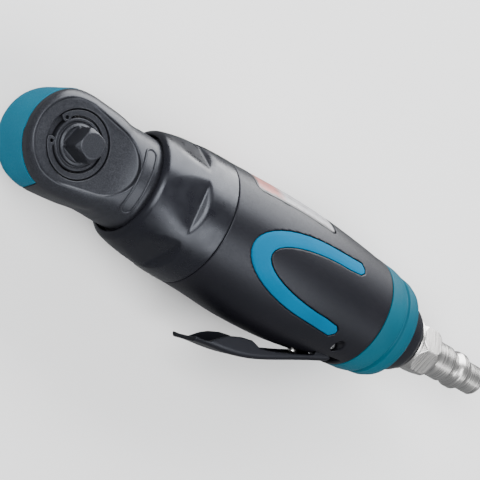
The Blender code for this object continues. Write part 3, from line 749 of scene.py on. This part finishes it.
class Nodes:
    """A material's node tree, with short calls for the nodes used here."""

    def __init__(self, name):
        self.material = bpy.data.materials.new(name)
        self.material.use_nodes = True
        self.tree = self.material.node_tree
        self.shader = self.tree.nodes["Principled BSDF"]
        self.place = self.tree.nodes.new("ShaderNodeTexCoord").outputs["Object"]

    def link(self, source, target):
        self.tree.links.new(source, target)

    def set(self, **values):
        for name, value in values.items():
            self.shader.inputs[name.replace("_", " ")].default_value = value

    def stretched(self, scale):
        node = self.tree.nodes.new("ShaderNodeMapping")
        node.inputs["Scale"].default_value = scale
        self.link(self.place, node.inputs["Vector"])
        return node.outputs["Vector"]

    def noise(self, scale, detail=3.0, stretch=(1, 1, 1), rough=0.5):
        """Noise with this many features to a millimetre."""
        node = self.tree.nodes.new("ShaderNodeTexNoise")
        node.inputs["Scale"].default_value = scale / MM
        node.inputs["Detail"].default_value = detail
        node.inputs["Roughness"].default_value = rough
        self.link(self.stretched(stretch), node.inputs["Vector"])
        return node.outputs["Fac"]

    def between(self, factor, low, high, start=0.35, end=0.65):
        """Maps a factor onto a range of numbers."""
        node = self.tree.nodes.new("ShaderNodeMapRange")
        for name, value in (("From Min", start), ("From Max", end), ("To Min", low), ("To Max", high)):
            node.inputs[name].default_value = value
        self.link(factor, node.inputs["Value"])
        return node.outputs["Result"]

    def mix(self, factor, first, second):
        """Mixes two colours, each a tuple or another node's output."""
        node = self.tree.nodes.new("ShaderNodeMix")
        node.data_type = "RGBA"
        self.link(factor, node.inputs["Factor"])
        for socket, colour in ((node.inputs["A"], first), (node.inputs["B"], second)):
            pick = [i for i in node.inputs if i.name == socket.name and i.type == "RGBA"][0]
            if isinstance(colour, tuple):
                pick.default_value = (*colour, 1)
            else:
                self.link(colour, pick)
        return [output for output in node.outputs if output.type == "RGBA"][0]

    def bump(self, height, depth, strength=1.0, before=None):
        """A bump of this depth in millimetres, on top of another one if given."""
        node = self.tree.nodes.new("ShaderNodeBump")
        node.inputs["Strength"].default_value = strength
        node.inputs["Distance"].default_value = depth * MM
        self.link(height, node.inputs["Height"])
        if before:
            self.link(before, node.inputs["Normal"])
        return node.outputs["Normal"]

    def finish(self, colour, roughness, normal=None):
        self.link(colour, self.shader.inputs["Base Color"])
        self.link(roughness, self.shader.inputs["Roughness"])
        if normal:
            self.link(normal, self.shader.inputs["Normal"])
        return self.material


def cast_steel(name):
    """Dark coated steel with the fine speckle of a blasted surface."""
    n = Nodes(name)
    n.set(Metallic=0.0, Specular_IOR_Level=0.4, Specular_Tint=COOL)
    speckle = n.noise(3.2, 4, rough=0.7)
    cloud = n.noise(0.12, 3)
    colour = n.mix(n.between(speckle, 0, 1, 0.42, 0.68), (0.009, 0.0095, 0.012), (0.03, 0.031, 0.037))
    colour = n.mix(n.between(cloud, 0, 0.35), colour, (0.012, 0.0125, 0.016))
    roughness = n.between(speckle, 0.32, 0.48)
    return n.finish(colour, roughness, n.bump(speckle, 0.02, 0.5, n.bump(cloud, 0.1, 0.2)))


def soft_plastic(name, colour, deep, rough, grain=2.4, depth=0.012, shine=0.35):
    """A dyed moulding with a fine grain and a slight change of shade."""
    n = Nodes(name)
    n.set(Specular_IOR_Level=shine, Specular_Tint=COOL)
    fine = n.noise(grain, 3)
    broad = n.noise(0.06, 2)
    shade = n.mix(n.between(broad, 0, 1, 0.3, 0.7), deep, colour)
    shade = n.mix(n.between(fine, 0, 0.25), shade, deep)
    return n.finish(shade, n.between(fine, rough - 0.05, rough + 0.06), n.bump(fine, depth, 0.35))


def metal(name, dark, light, rough, turned_along=None, lines=2.5):
    """A bare or plated metal with the fine lines of turning round an axis, or none."""
    n = Nodes(name)
    n.set(Metallic=1.0)
    stretch = [0.03, 0.03, 0.03]
    if turned_along is None:
        stretch = [1, 1, 1]
    else:
        stretch[turned_along] = 1
    line = n.noise(lines, 3, tuple(stretch))
    cloud = n.noise(0.25, 3)
    colour = n.mix(n.between(line, 0, 1, 0.3, 0.7), dark, light)
    colour = n.mix(n.between(cloud, 0, 0.3), colour, dark)
    return n.finish(colour, n.between(line, rough - 0.05, rough + 0.08), n.bump(line, 0.006, 0.3))


def printed_label(name):
    """Silvery film with a dark frame and rows of plain bars in place of print."""
    n = Nodes(name)
    n.set(Specular_IOR_Level=0.5)
    separate = n.tree.nodes.new("ShaderNodeSeparateXYZ")
    n.link(n.place, separate.inputs["Vector"])
    x, z = separate.outputs["X"], separate.outputs["Z"]
    start, end, half = LABEL_SPAN

    def math_node(operation, first, second):
        node = n.tree.nodes.new("ShaderNodeMath")
        node.operation = operation
        for socket, value in zip(node.inputs, (first, second)):
            if isinstance(value, (int, float)):
                socket.default_value = value
            else:
                n.link(value, socket)
        return node.outputs["Value"]

    from_middle_x = math_node("ABSOLUTE", math_node("SUBTRACT", x, (start + end) / 2 * MM), 0)
    from_middle_z = math_node("ABSOLUTE", math_node("SUBTRACT", z, AXIS_Z), 0)
    frame_x = math_node("GREATER_THAN", from_middle_x, ((end - start) / 2 - 0.7) * MM)
    frame_z = math_node("GREATER_THAN", from_middle_z, (half - 0.6) * MM)
    border = math_node("MAXIMUM", frame_x, frame_z)
    row = math_node("PINGPONG", z, 1.1 * MM)
    in_row = math_node("GREATER_THAN", row, 0.72 * MM)
    words = n.noise(0.75, 0, (1, 0.01, 0.9))
    print_bars = math_node("MULTIPLY", in_row, math_node("GREATER_THAN", words, 0.5))
    film = n.mix(n.between(x, 1, 0, 0.056, 0.059), (0.4, 0.4, 0.42), (0.42, 0.16, 0.14))
    film = n.mix(math_node("MULTIPLY", print_bars, 0.5), film, (0.12, 0.11, 0.12))
    colour = n.mix(border, film, (0.05, 0.05, 0.055))
    return n.finish(colour, n.between(n.noise(1.5), 0.3, 0.42))


def felt(name):
    n = Nodes(name)
    n.set(Sheen_Weight=0.4)
    fibre = n.noise(2.0, 5, (1, 1, 0.3), 0.7)
    colour = n.mix(fibre, (0.24, 0.24, 0.22), (0.45, 0.44, 0.41))
    return n.finish(colour, n.between(fibre, 0.85, 1.0), n.bump(fibre, 0.15, 0.8))


def laminate(name):
    n = Nodes(name)
    layer = n.noise(1.2, 3, (0.1, 1, 1))
    colour = n.mix(layer, (0.18, 0.09, 0.04), (0.33, 0.19, 0.09))
    return n.finish(colour, n.between(layer, 0.5, 0.65), n.bump(layer, 0.02, 0.4))


TURQUOISE = (0.001, 0.115, 0.185)
BRIGHT_BLUE = (0.001, 0.125, 0.25)
# Painted shade: the turquoise rubber darkened for the rear ring, which the lights would otherwise show too
# bright.
SHADED_TURQUOISE = (0.004, 0.085, 0.125)
COLD_BLACK = (0.006, 0.006, 0.009)
DEEP_BLACK = (0.004, 0.004, 0.006)

MATERIALS = {
    "black_steel": cast_steel("cast_black_steel"),
    "turquoise_rubber": soft_plastic("turquoise", TURQUOISE, (0.001, 0.09, 0.15), 0.55, shine=0.1),
    "turquoise_inlay": soft_plastic("turquoise_bright", BRIGHT_BLUE, (0.001, 0.105, 0.21), 0.6, shine=0.05),
    # Painted shade: the rear ring's darker copy of the turquoise rubber.
    "turquoise_ring_painted_shade": soft_plastic("turquoise_painted_shade", SHADED_TURQUOISE, (0.003, 0.065, 0.1), 0.5, shine=0.12),
    "lever_black": soft_plastic("satin_black_enamel", COLD_BLACK, DEEP_BLACK, 0.4),
    "gloss_black": soft_plastic("gloss_black_moulding", COLD_BLACK, DEEP_BLACK, 0.3, 0.3, 0.0005, 0.5),
    "satin_black": soft_plastic("satin_black_moulding", (0.006, 0.0055, 0.008), DEEP_BLACK, 0.42),
    "label": printed_label("printed_film"),
    "nickel_steel": metal("satin_nickel", (0.5, 0.49, 0.48), (0.72, 0.71, 0.69), 0.28, 0),
    "ground_steel": metal("ground_steel", (0.3, 0.3, 0.31), (0.5, 0.5, 0.51), 0.32),
    "brass": metal("turned_brass", (0.48, 0.33, 0.12), (0.66, 0.48, 0.2), 0.3, 0),
    "vane_laminate": laminate("vane_laminate"),
    "felt": felt("silencer_felt"),
    "seal_rubber": soft_plastic("seal_rubber", (0.02, 0.02, 0.02), (0.013, 0.013, 0.013), 0.6),
}


def dress(piece, body, material, *nodes, slot=None):
    """Gives a piece its material and body, and lets it stand for these CAD nodes."""
    piece.data.materials.append(MATERIALS[material])
    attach(piece, body)
    if nodes:
        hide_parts(*nodes)


def dress_frame():
    """Gives each CAD node that stays in view or inside its finished material."""
    slots = {entry["node"]: entry["material_slot"] for entry in frame["record"]["subparts"]}
    for name, obj in frame["nodes"].items():
        obj.data.materials.clear()
        obj.data.materials.append(MATERIALS[slots[name]])


# ---------------------------------------------------------------- stage


def aim(obj, target):
    obj.rotation_euler = (Vector(target) - obj.location).to_track_quat("-Z", "Y").to_euler()


def soft_light(name, place, target, size, power):
    data = bpy.data.lights.new(name, "AREA")
    data.shape = "RECTANGLE"
    data.size, data.size_y = size
    data.energy = power
    light = bpy.data.objects.new(name, data)
    light.location = place
    bpy.context.scene.collection.objects.link(light)
    aim(light, target)


def make_stage():
    """A pale floor that keeps out of the shells' reflections, an even sky and three soft lights."""
    bpy.ops.mesh.primitive_plane_add(size=6, location=(0, 0, CAD_BOUNDS[0].z - 0.0005))
    floor = bpy.context.object
    floor.name = "studio_floor"
    paint = Nodes("studio_floor_paint")
    tone = paint.noise(0.001, 2)
    shade = paint.mix(paint.between(tone, 0, 1), (0.93, 0.93, 0.93), (0.94, 0.94, 0.94))
    floor.data.materials.append(paint.finish(shade, paint.between(tone, 0.85, 0.9)))
    floor.visible_glossy = False
    world = bpy.data.worlds.new("studio_world")
    world.use_nodes = True
    world.node_tree.nodes["Background"].inputs["Color"].default_value = (0.95, 0.97, 1.0, 1)
    world.node_tree.nodes["Background"].inputs["Strength"].default_value = 0.3
    bpy.context.scene.world = world
    middle = (0.06, 0, AXIS_Z)
    soft_light("label_side_softbox", (0.18, 0.6, 0.08), middle, (0.7, 0.8), 17)
    soft_light("camera_side_softbox", (-0.42, 0.0, 0.62), middle, (0.5, 0.5), 8)
    soft_light("overhead_softbox", (0.26, -0.25, 0.5), middle, (0.42, 0.42), 3)


def make_camera():
    """A long lens in front of the head, a little above the tool."""
    data = bpy.data.cameras.new("studio_camera")
    data.lens = 140.25
    data.clip_start = 0.01
    camera = bpy.data.objects.new("studio_camera", data)
    camera.location = (-0.1967, -0.0807, 0.3904 + AXIS_Z)
    camera.rotation_euler = Euler(tuple(math.radians(angle) for angle in (-5.879, -33.938, 28.379)))
    bpy.context.scene.collection.objects.link(camera)
    bpy.context.scene.camera = camera


dress_frame()
make_head()
make_drive()
make_shells()
make_rear_end()
make_plug()
make_throttle()
make_stage()
make_camera()
